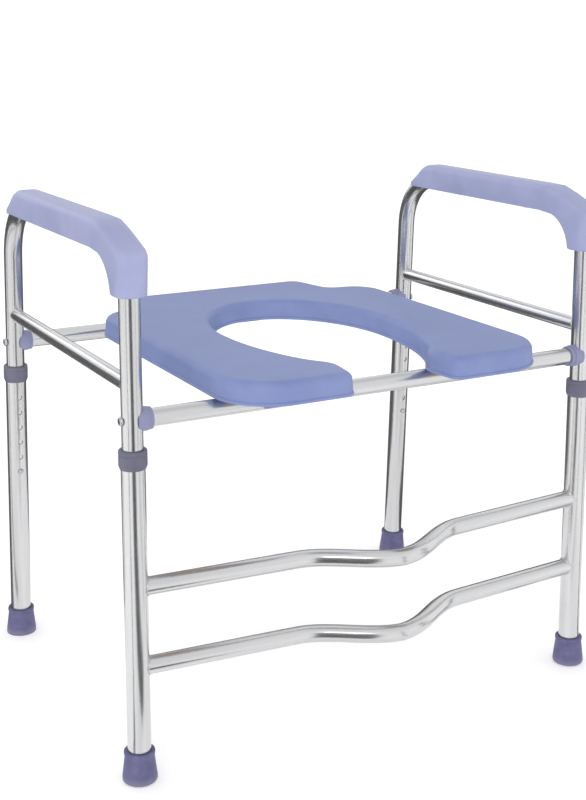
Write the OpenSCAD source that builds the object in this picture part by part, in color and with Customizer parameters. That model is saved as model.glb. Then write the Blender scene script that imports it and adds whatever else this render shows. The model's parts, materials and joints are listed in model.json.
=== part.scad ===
// Raised toilet seat: a tube frame that stands over a toilet, with a padded
// U-shaped seat on two crossbars, armrests, and telescopic legs on rubber feet.
// The front faces -Y, left is -X, and the floor is z = 0. The origin lies on
// the floor under the middle of the whole object.

/* [Frame] */
// Distance between the left and right uprights, axis to axis
frame_w = 570; // [540:1:600]
// Distance between the front and rear uprights at the crossbars, axis to axis
frame_d = 386; // [370:1:400]
// Backward slant of the rear uprights and legs, in degrees
slant = 3; // [1:0.5:4]
// Outer diameter of the side frames
tube_d = 22; // [20:0.5:22]
// Wall of the side frames, rails, crossbars and guard bars
tube_wall = 1.2; // [1:0.1:1.4]
// Height of the arm tubes' axes
arm_z = 567; // [550:1:590]
// Centreline radius of the bend behind the armrest collar
front_bend_r = 45; // [40:1:48]
// Centreline radius of the rear top bend
rear_bend_r = 72; // [60:1:80]
// Height of the side rails' axes
rail_z = 426; // [424:1:440]
// Diameter of the side rails
rail_d = 16; // [14:1:18]

/* [Crossbars] */
// Height of the crossbars' axes
crossbar_z = 391; // [385:1:395]
// Diameter of the crossbars
crossbar_d = 19; // [18:0.5:20]
// Outer diameter of the saddle caps
saddle_d = 25; // [24:0.5:28]
// Diameter of the bolts
bolt_d = 6; // [5:0.5:6]

/* [Legs] */
// Outer diameter of the lower leg tubes
leg_d = 25; // [25:0.1:25.4]
// Inner diameter of the lower leg tubes
leg_bore_d = 22.6; // [22.6:0.1:22.8]
// Height of the collars' top faces
collar_top_z = 361; // [355:1:363]
// Height of one collar
collar_h = 20; // [16:1:22]
// Height of the lowest adjustment hole
hole_z = 224; // [223:1:226]
// Distance between adjustment holes
hole_pitch = 19.5; // [18:0.5:19.5]
// Number of adjustment holes in each leg
hole_count = 6; // [4:1:6]
// Diameter of the adjustment holes
hole_d = 7; // [6.8:0.1:7.5]

/* [Guard bars] */
// Diameter of the two bars between the front legs
guard_d = 19; // [16:1:19]
// Height of the upper bar's axis
guard_upper_z = 213; // [205:1:213]
// Height of the lower bar's axis
guard_lower_z = 126; // [100:1:150]
// How far each bar bows forward of the front legs' axes
guard_bow = 60; // [58:1:64]
// Half width of the bow
guard_bow_half = 105; // [95:1:120]

/* [Feet] */
// Diameter of a foot at the floor
foot_d = 37; // [34:1:40]
// Diameter of a foot at its top
foot_top_d = 31; // [30:0.5:33]
// Height of a foot
foot_h = 34; // [30:1:40]

/* [Seat] */
// Width of the seat
seat_w = 394; // [380:1:410]
// Whole thickness of the seat
seat_t = 25.5; // [24:0.5:30]
// How far the seat reaches in front of the front crossbar's axis
seat_front = 66; // [60:1:66]
// How far the seat reaches behind the rear crossbar's axis
seat_rear = 27; // [24:1:32]
// Half width of the rear edge between its two steps
tab_half = 126; // [115:1:130]
// How far the shoulders lie in front of the rear edge
shoulder_step = 69; // [60:1:75]
// Half width of the opening at its widest
opening_half = 103; // [95:1:106]
// Half width of the gap between the front lobes
gap_half = 60; // [56:1:70]

/* [Armrests] */
// Width of an armrest
armrest_w = 33; // [31:1:36]
// Height of the armrests' top faces above the arm tubes' axes
armrest_rise = 21; // [18:1:24]

/* [Hidden] */
$fn = 48;

LEFT = -1;
RIGHT = 1;
fit_gap = 0.1;       // between pieces of one body that sit in each other
slide_gap = 0.3;     // between pieces that move past each other
tube_r = tube_d / 2;
bore_r = tube_r - tube_wall;
leg_r = leg_d / 2;
bar_r = crossbar_d / 2;
side_x = frame_w / 2;

// The whole object is centred on y = 0: the guard bars reach furthest forward
// and the rear feet furthest back.
front_reach = guard_bow + guard_d / 2;
rear_lean = crossbar_z * tan(slant);
rear_reach = rear_lean + foot_d / 2;
front_y = front_reach - (front_reach + frame_d + rear_reach) / 2;
rear_y = front_y + frame_d;
rear_floor_y = rear_y + rear_lean;

// Centre of the rear top bend, tangent to the arm tube and the slanted upright
rear_bend_z = arm_z - rear_bend_r;
rear_bend_y = rear_y + ((crossbar_z - rear_bend_z) * sin(slant) - rear_bend_r) / cos(slant);

butt_gap = 0.02;
screw_r = 2;
channel_y = 62;                    // from the front upright back to the armrest's channel
guard_toe_in = 0.072;              // forward run of the guard bars' ends, per unit of x
guard_sides = 20;
tube_end_z = 204;                  // lower ends of the side frames, inside the legs
leg_end_z = 7;                     // lower ends of the leg tubes, inside the feet
foot_floor = 5.5;                  // rubber under the washer
washer_t = 1.3;
button_r = 3.2;
button_back = 7.8;                 // from the tube's axis to a button's inner face
bar_end_x = side_x - tube_r - 3.5; // the crossbars stop short of the uprights
bolt_r = bolt_d / 2;
bolt_head_r = 4.8;
bolt_head_h = 3.2;

seat_gap = 1.8;                    // the seat's rests hold it off the crossbars
seat_z = crossbar_z + bar_r + seat_gap;    // underside of the seat
front_edge = front_y - seat_front;
rear_edge = rear_y + seat_rear;
shoulder_y = rear_edge - shoulder_step;
side_half = seat_w / 2;
front_corner_r = 64;               // outer front corners, from above
tip_r = 15;                        // inner front corners of the lobes, from above
egg_y = front_y + 153;             // where the opening is widest
egg_front = 200;                   // half length of the opening's front ellipse
egg_rear = 150;                    // half length of its rear ellipse
base_inset = 14;
base_t = 10;
rear_clip_x = 95;                  // within the rear edge's tab
front_rest_x = 130;
clip_w = 24;
clip_t = 3;
clip_l = 48;
rear_plate_y = -13;                // the rear plates lie forward of the crossbar's axis
front_screw_ys = [-19, 19];        // from a front plate's middle to its screws
rear_screw_ys = [-18, -5.5];
clip_screw_r = 1.8;
screw_head_r = 4.1;
screw_head_h = 2.3;

// The seat's plates: [x, y of the middle, screws]
plates = [
    [front_rest_x, front_y, front_screw_ys],
    [rear_clip_x, rear_y + rear_plate_y, rear_screw_ys],
];

arm_screw_ys = [front_y + 110, front_y + 250];

STEEL = [0.80, 0.81, 0.82];
LAVENDER = [0.70, 0.71, 0.84];
SEAT_BLUE = [0.56, 0.62, 0.80];
CAP = [0.53, 0.54, 0.71];
COLLAR_GREY = [0.44, 0.44, 0.54];
FOOT_PURPLE = [0.44, 0.42, 0.62];
ZINC = [0.62, 0.63, 0.65];
WOOD = [0.74, 0.60, 0.42];

// ---- shared geometry ----

// Points along the round corner at b, on the way from a to c
function corner(a, b, c, r, steps = 8) =
    let (
        u = (a - b) / norm(a - b),
        v = (c - b) / norm(c - b),
        half = acos(max(-1, min(1, u * v))) / 2,
        run = r / tan(half),
        centre = b + (u + v) / norm(u + v) * r / sin(half),
        from = b + u * run - centre,
        to = b + v * run - centre,
        turn = 180 - 2 * half,
        way = from.x * to.y - from.y * to.x > 0 ? 1 : -1
    )
    [for (i = [0:steps]) let (t = way * turn * i / steps)
        centre + [from.x * cos(t) - from.y * sin(t), from.x * sin(t) + from.y * cos(t)]];

// A closed outline from corners [x, y, radius], where radius 0 stays sharp
function rounded(corners) =
    let (n = len(corners), at = function (k) [corners[k % n].x, corners[k % n].y])
    [for (k = [0:n - 1]) each corners[k].z > 0
        ? corner(at(k + n - 1), at(k), at(k + 1), corners[k].z)
        : [at(k)]];

// Half of the seat's outline, drawn in by d, from the rear middle round to the
// middle of the opening's rear end
function seat_half(d) =
    let (
        tab = [tab_half - d, rear_edge - d],
        tab_root = [tab_half + 14 - d, shoulder_y - d],
        shoulder = [side_half - d, shoulder_y - d],
        front = [side_half - d, front_edge + d],
        tip = [gap_half + 2 + d, front_edge + d],
        throat = [gap_half - 5 + d, front_edge + 52],
        throat_t = -45
    )
    concat(
        corner([0, rear_edge - d], tab, tab_root, 24 - d),
        corner(tab, tab_root, shoulder, 14 + d / 2),
        corner(tab_root, shoulder, front, 44 - d),
        corner(shoulder, front, tip, front_corner_r - d),
        corner(front, tip, throat, tip_r - d),
        corner(tip, throat, egg(throat_t, d), 36),
        [for (t = [throat_t:5:85]) egg(t, d)]
    );

// A point on the egg-shaped opening, t degrees round from its widest place
function egg(t, d) = [
    (opening_half + d) * cos(t),
    egg_y + ((t < 0 ? egg_front : egg_rear) + d) * sin(t)
];

module seat_outline(d) {
    half = seat_half(d);
    polygon(concat(half, [egg(90, d)],
        [for (k = [len(half) - 1:-1:0]) [-half[k].x, half[k].y]]));
}

// The front upright, the bend above it and the arm tube, in the plane x = 0,
// solid, of radius r. It ends at the butt joint in the armrest's channel.
module front_run(r, end_z, end_y) {
    straight_top = arm_z - front_bend_r;
    translate([0, front_y, end_z]) cylinder(r = r, h = straight_top - end_z);
    translate([0, front_y + front_bend_r, straight_top]) rotate([90, 0, 90]) rotate([0, 0, 90])
        rotate_extrude(angle = 90) translate([front_bend_r, 0]) circle(r);
    translate([0, front_y + front_bend_r, arm_z]) rotate([-90, 0, 0])
        cylinder(r = r, h = end_y - front_y - front_bend_r);
}

// The rear top bend and the slanted rear upright, in the plane x = 0, solid
module rear_run(r, end_z) {
    straight_l = (rear_bend_z + rear_bend_r * sin(slant)) / cos(slant) - end_z;
    translate([0, rear_bend_y, rear_bend_z]) rotate([slant, 0, 0]) {
        rotate([90, 0, 90]) rotate_extrude(angle = 90 - slant) translate([rear_bend_r, 0]) circle(r);
        translate([0, rear_bend_r, -straight_l]) cylinder(r = r, h = straight_l);
    }
}

// Puts children, drawn round the z axis with the button towards -Y, at a leg
module at_front(side) {
    translate([side * side_x, front_y, 0]) rotate([0, 0, 180]) children();
}

module at_rear(side) {
    translate([side * side_x, rear_floor_y, 0]) rotate([slant, 0, 0]) children();
}

// A cylinder along X from x0 to x1
module x_rod(r, x0, x1) {
    translate([min(x0, x1), 0, 0]) rotate([0, 90, 0]) cylinder(r = r, h = abs(x1 - x0));
}

// ---- side frames ----

// The tube is butt-jointed where its rear bend begins, inside the armrest
module side_frame(side) {
    color(STEEL) difference() {
        translate([side * side_x, 0, 0]) {
            difference() {
                front_run(tube_r, tube_end_z, rear_bend_y - butt_gap);
                front_run(bore_r, tube_end_z - 1, rear_bend_y + 1);
            }
            difference() {
                rear_run(tube_r, tube_end_z);
                rear_run(bore_r, tube_end_z - 1);
            }
        }
        for (y = [front_y, rear_y]) translate([0, y, crossbar_z])
            x_rod(bolt_r + fit_gap, side * (side_x - 20), side * (side_x + 20));
        at_front(side) button_hole(button_r + fit_gap);
        at_rear(side) button_hole(button_r + fit_gap);
        for (y = arm_screw_ys) translate([side * side_x, y, arm_z - 20])
            cylinder(r = screw_r + fit_gap, h = 40);
    }
}

module button_hole(r) {
    translate([0, 0, hole_z]) rotate([90, 0, 0]) cylinder(r = r, h = 20);
}

module side_rail(side) {
    color(STEEL) difference() {
        translate([side * side_x, front_y, rail_z]) rotate([-90, 0, 0]) difference() {
            cylinder(d = rail_d, h = frame_d);
            translate([0, 0, -1]) cylinder(d = rail_d - 2 * tube_wall, h = frame_d + 2);
        }
        at_front(side) upright_core(fit_gap / 2);
        at_rear(side) upright_core(fit_gap / 2);
    }
}

// A cylinder wider than an upright by gap all round, to cut its seat in a piece
module upright_core(gap) {
    translate([0, 0, crossbar_z - 60]) cylinder(r = tube_r + gap, h = 120);
}

// ---- armrests ----

// Side view of an armrest, x forward to back from the front upright's axis
function armrest_profile() =
    let (top = arm_z + armrest_rise, low = arm_z - 10, end = rear_bend_y - front_y + 50)
    rounded([
        [-17, arm_z - 49.5, 3],
        [-18.5, arm_z - 4, 8],
        [47, top, 60],
        [end - 34, top, 25],
        [end, low - 1, 4],
        [22, low, 40],
        [16.5, arm_z - 49.5, 2],
    ]);

module armrest(side) {
    top = arm_z + armrest_rise;
    color(LAVENDER) difference() {
        intersection() {
            translate([side * side_x - armrest_w / 2, front_y, 0]) rotate([90, 0, 90])
                linear_extrude(armrest_w) polygon(armrest_profile());
            translate([side * side_x, front_y + 400, 0]) rotate([90, 0, 0])
                linear_extrude(450) polygon(rounded([
                    [-armrest_w / 2, arm_z - 60, 0], [armrest_w / 2, arm_z - 60, 0],
                    [armrest_w / 2, top, 10], [-armrest_w / 2, top, 10],
                ]));
        }
        translate([side * side_x, 0, 0])
            front_run(tube_r + fit_gap, arm_z - 60, front_y + channel_y + 1);
        // channel under the arm, open downwards
        translate([side * side_x - tube_r - fit_gap, front_y + channel_y, arm_z - 30])
            cube([tube_d + 2 * fit_gap, frame_d, 30 + tube_r + fit_gap]);
        for (y = arm_screw_ys) translate([side * side_x, y, arm_z])
            cylinder(r = screw_r + fit_gap, h = armrest_rise - 4);
    }
}

// Two screws on each side, from below through the arm tube
module armrest_screws() {
    color(ZINC) for (side = [LEFT, RIGHT], y = arm_screw_ys)
        translate([side * side_x, y, arm_z - tube_r]) {
            cylinder(r = screw_r, h = tube_d + armrest_rise - tube_r - 5);
            translate([0, 0, -2.2]) difference() {
                cylinder(r1 = 3.2, r2 = 4, h = 2.2);
                cross_recess(2.4, 1.2);
            }
        }
}

// The cross-shaped socket of a screw head, cut upwards from z = 0
module cross_recess(half, depth) {
    for (a = [0, 90]) rotate([0, 0, a])
        translate([-half, -0.5, -1]) cube([2 * half, 1, depth + 1]);
}

// ---- crossbars ----

module crossbar(y) {
    color(STEEL) translate([0, y, crossbar_z]) difference() {
        x_rod(bar_r, -bar_end_x, bar_end_x);
        x_rod(bar_r - tube_wall, -bar_end_x - 1, bar_end_x + 1);
    }
}

// A short cup over the crossbar's end whose outer rim hugs the upright
module saddle(side, y) {
    reach = 5;
    lip = 0.7;
    color(CAP) difference() {
        translate([0, y, crossbar_z]) {
            x_rod(saddle_d / 2 - lip, side * (bar_end_x - reach), side * (side_x - 3));
            x_rod(saddle_d / 2, side * (bar_end_x - 0.5), side * (side_x - 3));
        }
        translate([0, y, crossbar_z]) {
            x_rod(bar_r + fit_gap, side * (bar_end_x - reach - 1), side * bar_end_x);
            x_rod(bolt_r + fit_gap, side * (bar_end_x - 1), side * side_x);
        }
        if (y < 0) at_front(side) upright_core(fit_gap);
        else at_rear(side) upright_core(fit_gap);
    }
}

module crossbar_bolts() {
    color(ZINC) for (side = [LEFT, RIGHT], y = [front_y, rear_y])
        translate([side * (side_x + tube_r), y, crossbar_z]) rotate([0, side * 90, 0]) {
            translate([0, 0, -side_x - tube_r + bar_end_x - 14])
                cylinder(r = bolt_r, h = side_x + tube_r - bar_end_x + 14);
            difference() {
                rotate_extrude() polygon(concat([[0, 0], [bolt_head_r, 0]],
                    [for (t = [0:15:75]) [
                        bolt_head_r * (0.55 + 0.45 * cos(t)),
                        1 + (bolt_head_h - 1) * sin(t)]],
                    [[0, bolt_head_h]]));
                translate([0, 0, bolt_head_h]) mirror([0, 0, 1]) cross_recess(2.8, 1.6);
            }
        }
}

// Threaded plugs in the crossbars' ends
module crossbar_inserts() {
    color(ZINC) for (side = [LEFT, RIGHT], y = [front_y, rear_y])
        translate([0, y, crossbar_z]) difference() {
            x_rod(bar_r - tube_wall - fit_gap / 2, side * (bar_end_x - 18),
                side * (bar_end_x - 0.5));
            x_rod(bolt_r + fit_gap / 2, side * (bar_end_x - 19), side * bar_end_x);
        }
}

// ---- telescopic legs ----

module leg_tube() {
    color(STEEL) difference() {
        translate([0, 0, leg_end_z]) cylinder(r = leg_r, h = collar_top_z - 3 - leg_end_z);
        translate([0, 0, leg_end_z - 1]) cylinder(d = leg_bore_d, h = collar_top_z);
        for (i = [0:hole_count - 1]) translate([0, 0, hole_z + i * hole_pitch])
            rotate([90, 0, 0]) cylinder(d = hole_d, h = 20);
    }
}

module collar() {
    outer = leg_r + 2.2;
    low = collar_top_z - collar_h;
    color(COLLAR_GREY) rotate_extrude() polygon([
        [leg_r + fit_gap, low], [outer - 1.2, low], [outer - 0.8, low + 2.5], [outer, low + 3.5],
        [outer, collar_top_z - 1.5], [outer - 1, collar_top_z - 0.3], [outer - 2, collar_top_z],
        [tube_r + slide_gap, collar_top_z], [tube_r + slide_gap, collar_top_z - 2.8],
        [leg_r + fit_gap, collar_top_z - 2.8],
    ]);
}

// A rubber foot, solid but for the leg's socket. A leaning one reaches below
// the floor, to be cut level.
module foot_body(leaning) {
    base_r = foot_d / 2;
    top_r = foot_top_d / 2;
    low = leaning ? -3 : 0;
    lip_r = top_r + 0.8;
    rotate_extrude() polygon([
        [0, low], [leaning ? base_r : base_r - 2.5, low], [base_r, 3], [base_r - 0.3, 7],
        [top_r + 0.2, foot_h - 6], [top_r + 0.2, foot_h - 4.5], [lip_r, foot_h - 4],
        [lip_r, foot_h - 1.5], [top_r, foot_h], [leg_r + fit_gap, foot_h],
        [leg_r + fit_gap, foot_floor], [0, foot_floor],
    ]);
}

module front_foot(side) {
    color(FOOT_PURPLE) at_front(side) foot_body(false);
}

module rear_foot(side) {
    color(FOOT_PURPLE) intersection() {
        at_rear(side) foot_body(true);
        translate([side * side_x - foot_d, rear_floor_y - foot_d, 0])
            cube([2 * foot_d, 2 * foot_d, 2 * foot_h]);
    }
}

module foot_washer() {
    color(ZINC) translate([0, 0, foot_floor + fit_gap]) cylinder(r = leg_r - 0.5, h = washer_t);
}

module front_foot_washers() {
    for (side = [LEFT, RIGHT]) at_front(side) foot_washer();
}

// ---- snap buttons ----

module button() {
    tip = leg_r + 2.6;
    flange_r = 4.4;
    flange_t = 0.8;
    color(ZINC) translate([0, 0, hole_z]) rotate([90, 0, 0]) rotate_extrude() polygon(concat(
        [[0, button_back], [flange_r, button_back], [flange_r, button_back + flange_t],
            [button_r, button_back + flange_t], [button_r, tip - 2]],
        [for (t = [15:15:75]) [button_r * cos(t), tip - 2 + 2 * sin(t)]],
        [[0, tip]]));
}

// A leaf bent into a V inside the upright: one arm behind the button, the
// other on the far wall, and the bend above them
module button_spring() {
    leaf = 0.7;
    width = 7;
    near = button_back - fit_gap;
    far = bore_r - 0.8;
    color(ZINC) translate([-width / 2, 0, hole_z]) rotate([90, 0, 90]) linear_extrude(width)
        difference() {
            polygon(spring_side(near, far, 3, -6));
            polygon(spring_side(near - leaf, far - leaf, 3 - leaf, -7));
        }
}

// The V's outline: its arms lie near and far from the axis and end at low, and
// its bend of radius r lies above them
function spring_side(near, far, r, low) =
    let (arm_top = 6, bend_z = 39 + r, half = r + 0.4)
    rounded([
        [-near, low, 0], [-near, arm_top, 0], [-half, bend_z, r],
        [half, bend_z, r], [far, arm_top, 0], [far, low, 0],
    ]);

// ---- guard bars ----

// How far a guard bar lies in front of the legs' axes at x: its runs toe in
// from the legs, and a smooth bow carries the middle forward
function bow(x) =
    let (a = abs(x), toe_in = (side_x - a) * guard_toe_in)
    a < guard_bow_half
        ? toe_in + (guard_bow - side_x * guard_toe_in) * (1 + cos(180 * a / guard_bow_half)) / 2
        : toe_in;

// A ring of points at radius r round the bar's centreline at x
function guard_ring(x, z, r) =
    let (slope = bow(x - 0.5) - bow(x + 0.5), way = [1, slope] / norm([1, slope]))
    [for (k = [0:guard_sides - 1]) let (a = 360 * k / guard_sides, u = r * cos(a))
        [x - way.y * u, front_y - bow(x) + way.x * u, z + r * sin(a)]];

// A bar of radius r from x = -end_x to end_x, solid
module guard_sweep(z, r, end_x) {
    steps = 12;
    xs = concat([-end_x, -1.12 * guard_bow_half],
        [for (i = [-steps:steps]) i * guard_bow_half / steps],
        [1.12 * guard_bow_half, end_x]);
    n = guard_sides;
    last = (len(xs) - 1) * n;
    polyhedron([for (x = xs) each guard_ring(x, z, r)], concat(
        [[for (k = [0:n - 1]) k], [for (k = [n - 1:-1:0]) last + k]],
        [for (i = [0:n:last - n], k = [0:n - 1]) let (next = (k + 1) % n) each [
            [i + k, i + n + k, i + next],
            [i + next, i + n + k, i + n + next],
        ]]));
}

module guard_bar(z) {
    color(STEEL) difference() {
        guard_sweep(z, guard_d / 2, side_x);
        guard_sweep(z, guard_d / 2 - tube_wall, side_x + 1);
        for (side = [LEFT, RIGHT]) at_front(side) cylinder(r = leg_r + fit_gap / 2, h = 400);
    }
}

// ---- seat ----

module seat_pad() {
    color(SEAT_BLUE) difference() {
        translate([0, 0, seat_z]) linear_extrude(seat_t) seat_outline(0);
        translate([0, 0, seat_z - 1]) linear_extrude(base_t + 1) seat_outline(base_inset - fit_gap);
    }
}

module seat_base() {
    color(WOOD) difference() {
        translate([0, 0, seat_z]) linear_extrude(base_t - fit_gap) seat_outline(base_inset);
        for (side = [LEFT, RIGHT], p = plates) translate([side * p.x, p.y, seat_z]) {
            translate([-clip_w / 2 - fit_gap, -clip_l / 2 - fit_gap, -1])
                cube([clip_w + 2 * fit_gap, clip_l + 2 * fit_gap, clip_t + 1 + fit_gap]);
            for (y = p.z) translate([0, y, 0])
                cylinder(r = clip_screw_r + fit_gap, h = base_t - 1.5);
        }
    }
}

// Plate in the base board with two countersunk holes
module clip_plate(screw_ys) {
    difference() {
        translate([-clip_w / 2, -clip_l / 2, 0]) cube([clip_w, clip_l, clip_t]);
        for (y = screw_ys) translate([0, y, -1]) {
            cylinder(r = clip_screw_r + fit_gap, h = clip_t + 2);
            cylinder(r1 = screw_head_r + 1 + fit_gap, r2 = clip_screw_r + fit_gap,
                h = screw_head_h + 1);
        }
    }
}

// A clip's solid round the crossbar, seen along X: the plate, and a ring of
// wall clip_t that stays open downwards
module rear_clip(side) {
    drop = seat_z - crossbar_z;
    grip_r = bar_r + fit_gap;
    color(CAP) translate([side * rear_clip_x, rear_y, crossbar_z]) difference() {
        union() {
            translate([0, rear_plate_y, drop]) clip_plate(rear_screw_ys);
            x_rod(grip_r + clip_t, -clip_w / 2, clip_w / 2);
        }
        x_rod(grip_r, -clip_w, clip_w);
        translate([-clip_w, 0, 0]) rotate([90, 0, 90]) linear_extrude(2 * clip_w)
            polygon([[0, 0], [-18, -24], [18, -24]]);
    }
}

module front_rest(side) {
    drop = seat_z - crossbar_z;
    grip_r = bar_r + slide_gap;
    color(CAP) translate([side * front_rest_x, front_y, crossbar_z]) difference() {
        union() {
            translate([0, 0, drop]) clip_plate(front_screw_ys);
            x_rod(grip_r + clip_t - fit_gap, -clip_w / 2, clip_w / 2);
            translate([-clip_w / 2, -grip_r - clip_t + fit_gap, -5])
                cube([clip_w, 2 * (grip_r + clip_t - fit_gap), 5]);
        }
        x_rod(grip_r, -clip_w, clip_w);
        translate([-clip_w, -grip_r, -20]) cube([2 * clip_w, 2 * grip_r, 20]);
        translate([-clip_w, -20, -30]) cube([2 * clip_w, 40, 25]);
    }
}

module seat_screws() {
    color(ZINC) for (side = [LEFT, RIGHT], p = plates, y = p.z)
        translate([side * p.x, p.y + y, seat_z]) difference() {
            union() {
                cylinder(r1 = screw_head_r, r2 = clip_screw_r, h = screw_head_h);
                cylinder(r = clip_screw_r, h = base_t - 2);
            }
            cross_recess(2.2, 0.9);
        }
}

side_frame(LEFT);  // left_side_frame
side_frame(RIGHT);  // right_side_frame
side_rail(LEFT);  // left_side_rail
side_rail(RIGHT);  // right_side_rail
armrest(LEFT);  // left_armrest
armrest(RIGHT);  // right_armrest
armrest_screws();
crossbar(front_y);  // front_crossbar
crossbar(rear_y);  // rear_crossbar
saddle(LEFT, front_y);  // front_left_saddle
saddle(RIGHT, front_y);  // front_right_saddle
saddle(LEFT, rear_y);  // rear_left_saddle
saddle(RIGHT, rear_y);  // rear_right_saddle
crossbar_bolts();
crossbar_inserts();
at_front(LEFT) leg_tube();  // front_left_leg
at_front(RIGHT) leg_tube();  // front_right_leg
at_rear(LEFT) leg_tube();  // rear_left_leg
at_rear(RIGHT) leg_tube();  // rear_right_leg
at_front(LEFT) collar();  // front_left_collar
at_front(RIGHT) collar();  // front_right_collar
at_rear(LEFT) collar();  // rear_left_collar
at_rear(RIGHT) collar();  // rear_right_collar
guard_bar(guard_upper_z);  // upper_guard_bar
guard_bar(guard_lower_z);  // lower_guard_bar
front_foot(LEFT);  // front_left_foot
front_foot(RIGHT);  // front_right_foot
rear_foot(LEFT);  // rear_left_foot
rear_foot(RIGHT);  // rear_right_foot
front_foot_washers();
at_rear(LEFT) foot_washer();  // rear_left_foot_washer
at_rear(RIGHT) foot_washer();  // rear_right_foot_washer
at_front(LEFT) button();  // front_left_button
at_front(RIGHT) button();  // front_right_button
at_rear(LEFT) button();  // rear_left_button
at_rear(RIGHT) button();  // rear_right_button
at_front(LEFT) button_spring();  // front_left_spring
at_front(RIGHT) button_spring();  // front_right_spring
at_rear(LEFT) button_spring();  // rear_left_spring
at_rear(RIGHT) button_spring();  // rear_right_spring
seat_pad();
seat_base();
rear_clip(LEFT);  // rear_left_clip
rear_clip(RIGHT);  // rear_right_clip
front_rest(LEFT);  // front_left_rest
front_rest(RIGHT);  // front_right_rest
seat_screws();
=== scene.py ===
"""Raised toilet seat: its looks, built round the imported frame, in metres.

The front faces -Y, left is -X, and the floor is z = 0.
"""

import json
import math

import bmesh
import bpy
from mathutils import Matrix, Vector
from mathutils.geometry import delaunay_2d_cdt


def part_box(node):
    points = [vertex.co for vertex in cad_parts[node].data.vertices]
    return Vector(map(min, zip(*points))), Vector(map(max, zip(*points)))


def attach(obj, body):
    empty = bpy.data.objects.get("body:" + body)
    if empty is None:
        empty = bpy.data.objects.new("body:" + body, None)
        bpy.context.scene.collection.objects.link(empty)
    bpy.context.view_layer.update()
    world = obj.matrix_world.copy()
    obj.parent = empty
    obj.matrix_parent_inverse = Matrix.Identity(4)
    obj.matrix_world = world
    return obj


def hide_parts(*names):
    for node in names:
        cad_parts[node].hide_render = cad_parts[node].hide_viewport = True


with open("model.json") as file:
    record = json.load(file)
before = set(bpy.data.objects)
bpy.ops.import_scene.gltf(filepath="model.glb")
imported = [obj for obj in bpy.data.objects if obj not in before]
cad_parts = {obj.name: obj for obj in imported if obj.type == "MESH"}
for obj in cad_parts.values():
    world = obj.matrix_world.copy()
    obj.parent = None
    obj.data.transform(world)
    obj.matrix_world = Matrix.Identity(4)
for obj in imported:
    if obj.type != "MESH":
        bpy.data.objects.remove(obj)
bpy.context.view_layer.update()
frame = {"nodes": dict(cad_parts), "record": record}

MM = 0.001
CORNERS = ("front_left", "front_right", "rear_left", "rear_right")
SLANT = math.radians(3)         # the rear uprights and legs lean back by this
FEET = {mount["name"].removesuffix("_foot_face"): Vector(mount["pos_m"])
        for mount in frame["record"]["mounts"]}
SIDE_X = FEET["front_right"].x
FRONT_Y = FEET["front_right"].y
TUBE_R = 11 * MM                # side frames
LEG_R = 12.5 * MM               # lower leg tubes


# ---- camera, light and floor ----

def add_camera():
    """At the left of the front, looking down a little."""
    look_down = math.radians(10.9)
    look_right = math.radians(28.4)
    data = bpy.data.cameras.new("camera")
    data.lens = 62.2
    data.sensor_width = 36
    data.shift_y = -0.15
    camera = bpy.data.objects.new("camera", data)
    camera.location = (-0.7746, -1.4206, 0.7886)
    camera.rotation_euler = (math.pi / 2 - look_down, 0, -look_right)
    bpy.context.collection.objects.link(camera)
    bpy.context.scene.camera = camera


def add_softbox(name, azimuth, height, distance, size, power):
    """A square light that looks at the seat. Azimuth 0 is in front, 90 is on the left."""
    target_height = 0.35
    data = bpy.data.lights.new(name, "AREA")
    data.size = size
    data.energy = power
    light = bpy.data.objects.new(name, data)
    turn = math.radians(azimuth)
    light.location = (-distance * math.sin(turn), -distance * math.cos(turn), height)
    aim = Vector((0, 0, target_height)) - light.location
    light.rotation_euler = aim.to_track_quat("-Z", "Y").to_euler()
    bpy.context.collection.objects.link(light)


def add_flag(name, azimuth, width, finish):
    """A dark panel seen only in reflections, for the dark bands on the tubes. It runs out along
    the floor and turns up. Azimuth as for a softbox."""
    near = 0.4
    far = 0.95
    above_floor = 0.002
    top = 0.55
    turn = math.radians(azimuth)
    out = Vector((-math.sin(turn), -math.cos(turn), 0))
    side = Vector((math.cos(turn), -math.sin(turn), 0))
    verts = []
    for reach, height in ((near, above_floor), (far, above_floor), (far, top)):
        half = side * width / 2 * reach / far
        middle = out * reach + Vector((0, 0, height))
        verts += [middle - half, middle + half]
    flag = add_mesh(name, verts, [(0, 1, 3, 2), (2, 3, 5, 4)], finish)
    for ray in ("camera", "diffuse", "transmission", "volume_scatter", "shadow"):
        setattr(flag, "visible_" + ray, False)


def add_sky():
    """A plain pale surround, brighter at the horizon than overhead."""
    steps = (("From Min", 0.15), ("From Max", 0.85), ("To Min", 1.12), ("To Max", 0.9))
    world = bpy.data.worlds.new("studio")
    world.use_nodes = True
    nodes = world.node_tree.nodes
    links = world.node_tree.links
    direction = nodes.new("ShaderNodeTexCoord").outputs["Generated"]
    split = nodes.new("ShaderNodeSeparateXYZ")
    fall = nodes.new("ShaderNodeMapRange")
    for socket, number in steps:
        fall.inputs[socket].default_value = number
    links.new(direction, split.inputs["Vector"])
    links.new(split.outputs["Z"], fall.inputs["Value"])
    background = nodes["Background"]
    background.inputs["Color"].default_value = (0.985, 0.988, 1.0, 1)
    links.new(fall.outputs["Result"], background.inputs["Strength"])
    bpy.context.scene.world = world


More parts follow.
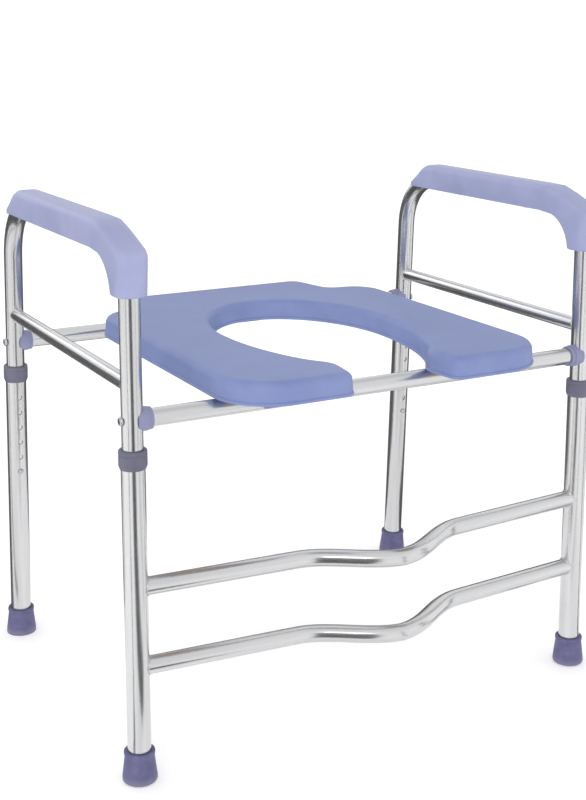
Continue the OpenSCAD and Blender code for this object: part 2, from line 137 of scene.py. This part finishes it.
def add_studio():
    bpy.context.scene.view_settings.view_transform = "Standard"
    add_sky()
    add_softbox("key_light", azimuth=38, height=1.2, distance=2.3, size=1.1, power=8)
    add_softbox("back_light", azimuth=165, height=1.6, distance=2.4, size=0.9, power=3)
    reach = 60
    corners = [(-reach, -reach, 0), (reach, -reach, 0), (reach, reach, 0), (-reach, reach, 0)]
    add_mesh("floor", corners, [(0, 1, 2, 3)], floor_finish())
    dark = flag_finish()
    # azimuth and width: one behind the camera, four slim ones, and three behind the object
    flags = ((28, 0.40), (60, 0.06), (112, 0.07), (-16, 0.05), (-62, 0.08),
             (148, 0.85), (194, 0.85), (-120, 0.85))
    for n, (azimuth, width) in enumerate(flags):
        add_flag("flag_%d" % n, azimuth, width, dark)


# ---- mesh helpers ----

def add_mesh(name, verts, faces, finish, sharp_above=42):
    """A mesh object with its doubled points merged, its faces turned out and its flats kept."""
    mesh = bpy.data.meshes.new(name)
    mesh.from_pydata([tuple(v) for v in verts], [], faces)
    work = bmesh.new()
    work.from_mesh(mesh)
    bmesh.ops.remove_doubles(work, verts=work.verts, dist=1e-6)
    bmesh.ops.recalc_face_normals(work, faces=work.faces)
    work.to_mesh(mesh)
    work.free()
    mesh.shade_smooth()
    mesh.set_sharp_from_angle(angle=math.radians(sharp_above))
    mesh.materials.append(finish)
    obj = bpy.data.objects.new(name, mesh)
    bpy.context.collection.objects.link(obj)
    return obj


def rounded(corners, steps=8):
    """A closed outline from corners (x, y, radius), where radius 0 stays sharp."""
    outline = []
    count = len(corners)
    for k, (x, y, radius) in enumerate(corners):
        at = Vector((x, y))
        if not radius:
            outline.append(at)
            continue
        to_last = (Vector(corners[k - 1][:2]) - at).normalized()
        to_next = (Vector(corners[(k + 1) % count][:2]) - at).normalized()
        half = to_last.angle(to_next) / 2
        centre = at + (to_last + to_next).normalized() * radius / math.sin(half)
        spoke = at + to_last * radius / math.tan(half) - centre
        turn = math.pi - 2 * half
        way = 1 if to_last.cross(to_next) < 0 else -1
        for i in range(steps + 1):
            outline.append(centre + Matrix.Rotation(way * turn * i / steps, 2) @ spoke)
    return outline


def resample(points, spacing, closed):
    """Points evenly spaced along a line through points."""
    line = list(points) + ([points[0]] if closed else [])
    lengths = [0]
    for a, b in zip(line, line[1:]):
        lengths.append(lengths[-1] + (b - a).length)
    count = max(2, round(lengths[-1] / spacing))
    result = []
    k = 0
    for i in range(count if closed else count + 1):
        want = lengths[-1] * i / count
        while k < len(line) - 2 and lengths[k + 1] < want:
            k += 1
        step = lengths[k + 1] - lengths[k]
        result.append(line[k].lerp(line[k + 1], (want - lengths[k]) / step if step else 0))
    return result


def stitch(rings, closed_rings=False, caps=True):
    """Faces between rings of equally many points, each ring closed on itself."""
    count = len(rings[0])
    faces = []
    last = len(rings) if closed_rings else len(rings) - 1
    for r in range(last):
        a = r * count
        b = (r + 1) % len(rings) * count
        for k in range(count):
            n = (k + 1) % count
            faces.append((a + k, a + n, b + n, b + k))
    if caps and not closed_rings:
        faces.append(tuple(range(count)))
        faces.append(tuple(range((len(rings) - 1) * count, len(rings) * count)))
    return [v for ring in rings for v in ring], faces


def lathe(profile, sides=64):
    """Verts and faces of a closed profile of (radius, height) turned round the z axis."""
    rings = []
    for k in range(sides):
        turn = 2 * math.pi * k / sides
        rings.append([Vector((r * math.cos(turn), r * math.sin(turn), z)) for r, z in profile])
    return stitch(rings, closed_rings=True)


def sweep(path, radius, sides, closed=False):
    """Verts, faces and straightened places of a round bar along path. radius is a number or
    one number per point."""
    radii = radius if isinstance(radius, list) else [radius] * len(path)
    count = len(path)
    normal = None
    rings = []
    straight = []
    run = 0
    for k, at in enumerate(path):
        before = path[k - 1] if closed or k else at
        after = path[(k + 1) % count] if closed or k < count - 1 else at
        run += (at - path[k - 1]).length if k else 0
        tangent = (after - before).normalized()
        if normal is None:
            normal = tangent.orthogonal().normalized()
        normal = (normal - tangent * normal.dot(tangent)).normalized()
        side = tangent.cross(normal)
        turns = [2 * math.pi * i / sides for i in range(sides)]
        rings.append([at + radii[k] * (math.cos(t) * normal + math.sin(t) * side) for t in turns])
        straight += [(radii[k] * math.cos(t), radii[k] * math.sin(t), run) for t in turns]
    verts, faces = stitch(rings, closed_rings=closed)
    return verts, faces, straight


def add_bar(name, path, radius, sides, closed=False):
    """A steel bar along path whose drawn lines and painted reflection bands follow its bends."""
    verts, faces, straight = sweep(path, radius, sides, closed)
    bar = add_mesh(name, verts, faces, steel_bent, 60)
    places = bar.data.attributes.new("straight", "FLOAT_VECTOR", "POINT")
    for k, place in enumerate(straight):
        places.data[k].vector = place
    return bar


def leg_matrix(corner):
    """From the leg's own upright frame, with its foot at the origin, to the object's."""
    place = Matrix.Translation(FEET[corner])
    if corner.startswith("rear"):
        place = place @ Matrix.Rotation(SLANT, 4, "X")
    return place


# ---- finishes ----

def srgb(red, green, blue):
    """A colour given in 0 to 255, as Blender's linear colour."""
    def linear(value):
        value /= 255
        return value / 12.92 if value <= 0.04045 else ((value + 0.055) / 1.055) ** 2.4
    return (linear(red), linear(green), linear(blue), 1)


class Finish:
    """A procedural material round one Principled shader."""

    def __init__(self, name, **sockets):
        self.material = bpy.data.materials.new(name)
        self.material.use_nodes = True
        self.nodes = self.material.node_tree.nodes
        self.links = self.material.node_tree.links
        self.shader = self.nodes["Principled BSDF"]
        self.place = self.nodes.new("ShaderNodeTexCoord").outputs["Object"]
        self.normal = None
        for socket, value in sockets.items():
            self.shader.inputs[socket.replace("_", " ")].default_value = value

    def noise(self, scale, stretch=(1, 1, 1), detail=4.0, roughness=0.55):
        """A noise with scale features a metre, drawn out along the axes where stretch is small."""
        mapping = self.nodes.new("ShaderNodeMapping")
        mapping.inputs["Scale"].default_value = stretch
        self.links.new(self.place, mapping.inputs["Vector"])
        noise = self.nodes.new("ShaderNodeTexNoise")
        noise.inputs["Scale"].default_value = scale
        noise.inputs["Detail"].default_value = detail
        noise.inputs["Roughness"].default_value = roughness
        self.links.new(mapping.outputs["Vector"], noise.inputs["Vector"])
        return noise.outputs["Fac"]

    def height(self):
        """How high a point is above the floor, at rest."""
        split = self.nodes.new("ShaderNodeSeparateXYZ")
        self.links.new(self.place, split.inputs["Vector"])
        return split.outputs["Z"]

    def spread(self, value, low, high, to_low, to_high):
        """value from low..high mapped to to_low..to_high and kept inside it."""
        node = self.nodes.new("ShaderNodeMapRange")
        for socket, number in (("From Min", low), ("From Max", high),
                               ("To Min", to_low), ("To Max", to_high)):
            node.inputs[socket].default_value = number
        self.links.new(value, node.inputs["Value"])
        return node.outputs["Result"]

    def mix(self, factor, first, second):
        """A colour between first and second. Each is a colour or another node's output."""
        node = self.nodes.new("ShaderNodeMix")
        node.data_type = "RGBA"
        self.links.new(factor, node.inputs["Factor"])
        for socket, colour in ((node.inputs[6], first), (node.inputs[7], second)):
            if isinstance(colour, tuple):
                socket.default_value = colour
            else:
                self.links.new(colour, socket)
        return node.outputs[2]

    def colour(self, value):
        self.links.new(value, self.shader.inputs["Base Color"])

    def roughness(self, value):
        self.links.new(value, self.shader.inputs["Roughness"])

    def bump(self, value, depth, strength=1.0):
        """Adds relief, depth metres deep, on top of any before it."""
        node = self.nodes.new("ShaderNodeBump")
        node.inputs["Distance"].default_value = depth
        node.inputs["Strength"].default_value = strength
        self.links.new(value, node.inputs["Height"])
        if self.normal:
            self.links.new(self.normal, node.inputs["Normal"])
        self.normal = node.outputs["Normal"]
        self.links.new(self.normal, self.shader.inputs["Normal"])


def steel_finish(name, stretch, straight=False):
    """Polished stainless tube with drawn lines along it, and broad lengthwise painted reflection
    bands in its colour. A bent bar's lines and bands follow the straight places its mesh holds."""
    finish = Finish(name, Metallic=1.0)
    if straight:
        places = finish.nodes.new("ShaderNodeAttribute")
        places.attribute_name = "straight"
        finish.place = places.outputs["Vector"]
    fine = finish.noise(1100, stretch, detail=3)
    reflection_streaks = finish.noise(150, stretch, detail=0)
    cloud = finish.noise(12, detail=3)
    # the broad lengthwise streaks in the colour are painted reflection bands; the fine lines below are
    # drawn marks
    tone = finish.mix(finish.spread(reflection_streaks, 0.3, 0.7, 0, 1),
                      (0.57, 0.57, 0.575, 1), (0.7, 0.7, 0.7, 1))
    tone = finish.mix(finish.spread(fine, 0.35, 0.7, 0, 0.25), tone, (0.55, 0.55, 0.56, 1))
    finish.colour(finish.mix(finish.spread(cloud, 0.45, 0.8, 0, 0.3), tone, (0.62, 0.62, 0.61, 1)))
    finish.roughness(finish.spread(fine, 0.25, 0.75, 0.17, 0.28))
    finish.bump(fine, 0.00004, 0.4)
    return finish.material


def zinc_finish():
    finish = Finish("zinc", Metallic=1.0)
    patch = finish.noise(420, detail=5)
    finish.colour(finish.mix(patch, (0.44, 0.45, 0.47, 1), (0.66, 0.67, 0.68, 1)))
    finish.roughness(finish.spread(patch, 0.3, 0.7, 0.24, 0.42))
    finish.bump(finish.noise(1500), 0.00005, 0.4)
    return finish.material


def moulded_finish(name, dark, light, rough, grain, coat=0.0, shine=0.5):
    """Moulded plastic or foam skin: cloudy colour, worn patches and a fine grain."""
    finish = Finish(name, Coat_Weight=coat, Coat_Roughness=0.25, Specular_IOR_Level=shine)
    cloud = finish.noise(22, detail=5)
    speck = finish.noise(650, detail=2)
    tone = finish.mix(finish.spread(cloud, 0.3, 0.7, 0, 1), dark, light)
    finish.colour(finish.mix(finish.spread(speck, 0.62, 0.75, 0, 0.25), tone, dark))
    finish.roughness(finish.spread(cloud, 0.3, 0.7, rough, rough + 0.1))
    finish.bump(finish.noise(grain, detail=3), 0.00009, 0.45)
    finish.bump(finish.noise(60, detail=2), 0.0004, 0.25)
    return finish.material


def rubber_finish():
    """Foot rubber, dusty where it meets the floor."""
    finish = Finish("foot_rubber", Specular_IOR_Level=0.35)
    cloud = finish.noise(90, detail=5)
    tone = finish.mix(finish.spread(cloud, 0.3, 0.7, 0, 1), srgb(88, 86, 122), srgb(107, 105, 143))
    dust = finish.spread(finish.height(), 0.0, 0.009, 0.55, 0)
    finish.colour(finish.mix(dust, tone, srgb(150, 147, 160)))
    finish.roughness(finish.spread(cloud, 0.3, 0.7, 0.48, 0.62))
    finish.bump(finish.noise(1100), 0.00012, 0.6)
    return finish.material


def plywood_finish():
    """Sealed board under the seat, with its grain along X."""
    finish = Finish("plywood", Coat_Weight=0.15, Coat_Roughness=0.35)
    grain = finish.noise(160, (0.05, 1, 1), detail=6)
    band = finish.noise(18, (0.2, 1, 1), detail=3)
    tone = finish.mix(finish.spread(grain, 0.35, 0.65, 0, 1), srgb(158, 138, 112), srgb(190, 172, 146))
    finish.colour(finish.mix(finish.spread(band, 0.35, 0.7, 0, 0.5), tone, srgb(140, 118, 92)))
    finish.roughness(finish.spread(grain, 0.3, 0.7, 0.45, 0.6))
    finish.bump(grain, 0.0003, 0.4)
    return finish.material


def floor_finish():
    finish = Finish("floor", Emission_Color=(1, 1, 1, 1), Emission_Strength=0.2)
    cloud = finish.noise(3, detail=4)
    finish.colour(finish.mix(cloud, srgb(249, 249, 249), srgb(252, 252, 252)))
    finish.roughness(finish.spread(cloud, 0.3, 0.7, 0.5, 0.62))
    return finish.material


def flag_finish():
    finish = Finish("flag", Roughness=1.0)
    cloud = finish.noise(2)
    finish.colour(finish.mix(cloud, (0.08, 0.08, 0.08, 1), (0.13, 0.13, 0.13, 1)))
    return finish.material


steel_along_x = steel_finish("steel_along_x", (0.02, 1, 1))
steel_upright = steel_finish("steel_upright", (1, 0.03, 0.02))
steel_bent = steel_finish("steel_bent", (1, 1, 0.02), straight=True)
zinc = zinc_finish()
lavender = moulded_finish("armrest_lavender", srgb(152, 157, 193), srgb(163, 168, 202),
                          rough=0.4, grain=1300, coat=0.05, shine=0.25)
cap_plastic = moulded_finish("cap_plastic", srgb(128, 130, 163), srgb(142, 143, 175),
                             rough=0.36, grain=1600, coat=0.1)
collar_plastic = moulded_finish("collar_plastic", srgb(92, 92, 112), srgb(108, 108, 126),
                                rough=0.38, grain=1500)
seat_skin = moulded_finish("seat_skin", srgb(121, 134, 180), srgb(132, 145, 190),
                           rough=0.38, grain=900, coat=0.06, shine=0.15)
foot_rubber = rubber_finish()
plywood = plywood_finish()


# ---- seat pad ----

def seat_outline():
    """The seat's outline, clockwise from the rear middle as seen from above."""
    low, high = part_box("seat_pad")
    side = high.x
    front = low.y
    rear = high.y
    tab = 126 * MM
    shoulder = rear - 69 * MM
    gap = 60 * MM
    egg_y = FRONT_Y + 153 * MM
    egg_half, egg_front, egg_rear = 103 * MM, 200 * MM, 150 * MM

    def egg(degrees):
        t = math.radians(degrees)
        reach = egg_front if degrees < 0 else egg_rear
        return Vector((egg_half * math.cos(t), egg_y + reach * math.sin(t)))

    start = egg(-45)
    corners = rounded([
        (0, rear, 0), (tab, rear, 24 * MM), (tab + 14 * MM, shoulder, 14 * MM),
        (side, shoulder, 44 * MM), (side, front, 64 * MM), (gap + 2 * MM, front, 15 * MM),
        (gap - 5 * MM, front + 52 * MM, 36 * MM), (start.x, start.y, 0),
    ])
    half = corners + [egg(t) for t in range(-42, 90, 3)]
    left = [Vector((-p.x, p.y)) for p in reversed(half[1:])]
    spacing = 3.5 * MM
    return resample(half + [egg(90)] + left, spacing, closed=True)


def inset(outline, distance):
    """A clockwise outline drawn in by distance, point for point."""
    count = len(outline)
    result = []
    for k, at in enumerate(outline):
        along = (outline[(k + 1) % count] - outline[k - 1]).normalized()
        result.append(at + Vector((along.y, -along.x)) * distance)
    return result


def crowned_top(edge, top, rise, spacing=9 * MM):
    """Points and triangles over the top inside edge, rising away from it."""
    rise_within = 14 * MM
    xs = [p.x for p in edge]
    ys = [p.y for p in edge]
    inner = []
    row = 0
    y = min(ys)
    while y < max(ys):
        x = min(xs) + (row % 2) * spacing / 2
        while x < max(xs):
            inner.append(Vector((x, y)))
            x += spacing
        y += spacing * 0.866
        row += 1
    reach = {}
    kept = []
    for p in inner:
        near = min((p - e).length for e in edge)
        if near > 0.6 * spacing:
            kept.append(p)
            reach[(round(p.x, 5), round(p.y, 5))] = near
    count = len(edge)
    points, _, faces, _, _, _ = delaunay_2d_cdt(
        list(edge) + kept, [(k, (k + 1) % count) for k in range(count)], [], 1, 1e-7)
    verts = []
    for p in points:
        near = reach.get((round(p.x, 5), round(p.y, 5)), 0)
        verts.append(Vector((p.x, p.y, top + rise * (1 - math.exp(-near / rise_within)))))
    return verts, [tuple(f) for f in faces]


def add_seat_pad():
    """Moulded foam with a rounded top edge, a moulding lip below and a recess for its board."""
    low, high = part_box("seat_pad")
    outline = seat_outline()
    bottom = low.z
    thick = high.z - low.z
    edge_r = 8.5 * MM
    lean = 2 * MM
    recess = 13.9 * MM
    rise = 0.7 * MM
    top = thick - rise
    section = [(recess, 10 * MM), (recess, 0), (1.2 * MM, 0), (0.4 * MM, 0.3 * MM), (0, 1.0 * MM),
               (0, 2.3 * MM), (0.3 * MM, 2.9 * MM), (0.9 * MM, 3.2 * MM), (1.3 * MM, 3.5 * MM),
               (1.1 * MM, 4.2 * MM), (1.1 * MM, 5.5 * MM)]
    for t in range(0, 91, 10):
        turn = math.radians(t)
        section.append((lean + edge_r * (1 - math.cos(turn)),
                        top - edge_r + edge_r * math.sin(turn)))
    rings = []
    for distance, height in section:
        rings.append([Vector((p.x, p.y, bottom + height)) for p in inset(outline, distance)])
    verts, faces = stitch(rings, caps=False)
    start = len(verts)
    top_verts, top_faces = crowned_top(inset(outline, section[-1][0]), bottom + top, rise)
    verts += top_verts
    faces += [tuple(start + k for k in f) for f in top_faces]
    faces.append(tuple(range(len(outline))))
    pad = add_mesh("seat_cushion", verts, faces, seat_skin, 60)
    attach(pad, "seat")
    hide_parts("seat_pad")


# ---- armrests ----

def armrest_stations():
    """Matching points along an armrest's outer and inner edge in side view: y back from the
    front upright's axis, and z."""
    low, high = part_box("left_armrest")
    top = high.z
    foot = low.z
    end = high.y - FRONT_Y
    under = 557 * MM
    shoulder = 563 * MM
    outer = rounded([
        (-17 * MM, foot, 0), (-18.5 * MM, shoulder, 9 * MM), (47 * MM, top, 60 * MM),
        (end - 34 * MM, top, 25 * MM), (end, under + 1.5 * MM, 0),
    ], 10)[:-1] + [Vector((end - 0.6 * MM, under + 2.5 * MM))]
    inner = rounded([(16.5 * MM, foot, 0), (20 * MM, under, 40 * MM), (end - 4 * MM, under - MM, 0)], 12)
    outer_zones = split_at(outer, [2 * MM, 0.16, 0.84])
    inner_zones = split_at(inner, [2 * MM, 0.14, 0.90])
    pairs = []
    for (a, b), steps in zip(zip(outer_zones, inner_zones), (2, 16, 12, 10)):
        pairs += list(zip(spaced(a, steps), spaced(b, steps)))
    return pairs


def split_at(line, cuts):
    """The line in parts, cut at distances along it. A cut of 0.1 or more is a share of it all."""
    fine = resample(line, 0.5 * MM, closed=False)
    last = len(fine) - 1
    marks = [0] + [round(c * last) if c >= 0.1 else round(c / (0.5 * MM)) for c in cuts] + [last]
    return [fine[a:b + 1] for a, b in zip(marks, marks[1:])]


def spaced(line, steps):
    return [line[round(i * (len(line) - 1) / steps)] for i in range(steps)]


def add_armrest(side):
    """A moulded grip with rounded upper edges over the arm tube, and a collar down the front."""
    name = side + "_armrest"
    low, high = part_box(name)
    middle = (low.x + high.x) / 2
    half = (high.x - low.x) / 2
    collar_stations = 18
    end_shrink = 0.07
    rings = []
    for n, (outer, inner) in enumerate(armrest_stations()):
        # the collar is rounded all round, and the grip's lower edges are crisp
        collar = max(0, 1 - n / collar_stations)
        soft = (9.5 + 3 * collar) * MM
        crisp = (2.5 + 6.5 * collar) * MM
        across = inner - outer
        depth = across.length
        across.normalize()
        upper = min(soft, 0.42 * depth)
        lower = min(crisp, (0.2 + 0.08 * collar) * depth)
        shrink = 1 if n else 1 - end_shrink
        section = []
        for t in range(0, 91, 15):
            turn = math.radians(t)
            section.append((half - soft + soft * math.sin(turn), upper - upper * math.cos(turn)))
        for t in range(0, 91, 30):
            turn = math.radians(t)
            section.append((half - lower + lower * math.cos(turn),
                            depth - lower + lower * math.sin(turn)))
        section += [(-x, v) for x, v in reversed(section)]
        ring = []
        for x, v in section:
            v = depth / 2 + (v - depth / 2) * shrink
            at = outer + across * v
            ring.append(Vector((middle + x * shrink, FRONT_Y + at.x, at.y)))
        rings.append(ring)
    verts, faces = stitch(rings)
    grip = add_mesh(name + "_grip", verts, faces, lavender, 50)
    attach(grip, "frame")
    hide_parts(name)


# ---- guard bars and welds ----

def guard_path(node):
    """A guard bar's centreline: straight runs that toe in, and a smooth bow forward."""
    low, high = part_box(node)
    radius = (high.z - low.z) / 2
    z = (low.z + high.z) / 2
    depth = FRONT_Y - low.y - radius
    toe_in = 0.072
    bow_half = 105 * MM
    path = []
    stations = 72
    end = SIDE_X - 0.8 * LEG_R
    for k in range(stations + 1):
        x = -end + 2 * end * k / stations
        forward = (SIDE_X - abs(x)) * toe_in
        if abs(x) < bow_half:
            forward += (depth - SIDE_X * toe_in) * (1 + math.cos(math.pi * x / bow_half)) / 2
        path.append(Vector((x, FRONT_Y - forward, z)))
    return path, radius


def cope(bar):
    """Curves a guard bar's ends to sit in the legs' walls, clear of the tubes inside them."""
    seat_r = LEG_R - 0.5 * MM
    for vertex in bar.data.vertices:
        at = vertex.co
        if abs(at.x) > SIDE_X - LEG_R:
            out = math.sqrt(seat_r ** 2 - (at.y - FRONT_Y) ** 2)
            at.x = math.copysign(SIDE_X - out, at.x)


def add_guard_bar(level):
    node = level + "_guard_bar"
    path, radius = guard_path(node)
    # rings of growing size close each end
    cap = [radius * share for share in (0.03, 0.3, 0.6, 0.85)]
    step = (path[1] - path[0]).normalized() * 0.01 * MM
    lead = [path[0] - step * (len(cap) - k) for k in range(len(cap))]
    tail = [Vector((-p.x, p.y, p.z)) for p in reversed(lead)]
    radii = cap + [radius] * len(path) + cap[::-1]
    bar = add_bar(node + "_tube", lead + path + tail, radii, 32)
    cope(bar)
    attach(bar, "front_legs")
    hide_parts(node)
    for side in ("left", "right"):
        way = 0 if side == "left" else 180
        add_weld(node + "_" + side + "_weld", "front_" + side, "front_legs", way, path[0].z,
                 LEG_R, radius)


def add_weld(name, corner, body, way, height, post_r, bar_r):
    """A rippled bead where a bar meets a post. way is the bar's direction from the post, in
    degrees round it."""
    turn = math.radians(way)
    along = Vector((math.cos(turn), math.sin(turn), 0))
    across = Vector((-math.sin(turn), math.cos(turn), 0))
    bead_r = 1.25 * MM
    ripple = 0.16 * MM
    ripples = 24
    proud = 0.2 * MM
    path = []
    radii = []
    points = 72
    for k in range(points):
        t = 2 * math.pi * k / points
        u = bar_r * math.cos(t)
        out = math.sqrt(post_r ** 2 - u ** 2)
        at = along * (out + proud) + across * u
        path.append(at + Vector((0, 0, height + bar_r * math.sin(t))))
        radii.append(bead_r + ripple * math.cos(ripples * t))
    path = [leg_matrix(corner) @ p for p in path]
    bead = add_bar(name, path, radii, 10, closed=True)
    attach(bead, body)


def add_rail_welds():
    low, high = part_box("left_side_rail")
    height = (low.z + high.z) / 2
    rail_r = (high.z - low.z) / 2
    for corner in CORNERS:
        way = 90 if corner.startswith("front") else -90
        local = height / math.cos(SLANT) if corner.startswith("rear") else height
        add_weld(corner + "_rail_weld", corner, "frame", way, local, TUBE_R, rail_r)


# ---- collars and feet ----

def leg_body(corner):
    return "front_legs" if corner.startswith("front") else corner + "_leg"


def add_collar(corner):
    """A turned sleeve with a soft upper rim and a bevelled lower edge."""
    node = corner + "_collar"
    # a front leg is upright, so its collar's box gives the heights along every leg
    box_low, box_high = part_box("front_left_collar")
    low = box_low.z / MM
    high = box_high.z / MM
    outer = 14.7
    profile = rounded([
        (12.6, low, 0.3), (13.5, low, 0.5), (14.1, low + 2.6, 0.6), (outer, low + 3.4, 0.6),
        (outer, high - 5.2, 0.3), (outer - 0.35, high - 4.9, 0.2), (outer - 0.35, high - 4.3, 0.2),
        (outer, high - 4.0, 0.3), (outer, high, 1.7), (11.3, high, 0.5), (11.3, high - 2.8, 0),
        (12.6, high - 2.8, 0),
    ], 5)
    verts, faces = lathe([p * MM for p in profile])
    sleeve = add_mesh(node + "_sleeve", [leg_matrix(corner) @ v for v in verts], faces,
                      collar_plastic, 50)
    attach(sleeve, leg_body(corner))
    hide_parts(node)


def add_foot(corner):
    """A turned rubber ferrule with a lip, a rounded toe and the leg's socket, cut level."""
    leaning = corner.startswith("rear")
    floor = -3 if leaning else 0
    profile = rounded([
        (0, floor, 0), (18.5, floor, 0 if leaning else 3.0), (18.5, 5, 4), (15.7, 28.2, 1.5),
        (15.7, 29.6, 0.6), (16.4, 30.2, 0.5), (16.4, 34, 1.4), (12.6, 34, 0.5), (12.6, 5.5, 0),
        (0, 5.5, 0),
    ], 6)
    verts, faces = lathe([p * MM for p in profile])
    boot = add_mesh(corner + "_foot_ferrule", [leg_matrix(corner) @ v for v in verts], faces,
                    foot_rubber, 45)
    if leaning:
        work = bmesh.new()
        work.from_mesh(boot.data)
        cut = bmesh.ops.bisect_plane(work, geom=work.verts[:] + work.edges[:] + work.faces[:],
                                     plane_co=(0, 0, 0), plane_no=(0, 0, -1), clear_outer=True)
        rim = [e for e in cut["geom_cut"] if isinstance(e, bmesh.types.BMEdge)]
        bmesh.ops.contextual_create(work, geom=rim)
        bmesh.ops.recalc_face_normals(work, faces=work.faces)
        work.to_mesh(boot.data)
        work.free()
    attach(boot, leg_body(corner))
    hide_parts(corner + "_foot")


# ---- finishes on the frame's own parts ----

def paint_frame():
    """Gives every CAD node that is shown its finish."""
    kinds = (
        ("crossbar_", zinc), ("armrest_screws", zinc), ("seat_screws", zinc), ("washer", zinc),
        ("button", zinc), ("spring", zinc), ("saddle", cap_plastic), ("clip", cap_plastic),
        ("rest", cap_plastic), ("base", plywood), ("crossbar", steel_along_x),
        ("", steel_upright),
    )
    for name, obj in frame["nodes"].items():
        finish = next(finish for word, finish in kinds if word in name)
        obj.data.materials.clear()
        obj.data.materials.append(finish)


def soften(node, width):
    """A small bevel on a CAD node's sharp edges, to catch the light."""
    bevel = frame["nodes"][node].modifiers.new("soft_edges", "BEVEL")
    bevel.width = width
    bevel.segments = 2
    bevel.limit_method = "ANGLE"
    bevel.angle_limit = math.radians(50)
    bevel.harden_normals = True


add_camera()
add_studio()
paint_frame()
add_seat_pad()
for side in ("left", "right"):
    add_armrest(side)
for level in ("upper", "lower"):
    add_guard_bar(level)
add_rail_welds()
for corner in CORNERS:
    add_collar(corner)
    add_foot(corner)
    soften(corner + "_saddle", 0.4 * MM)
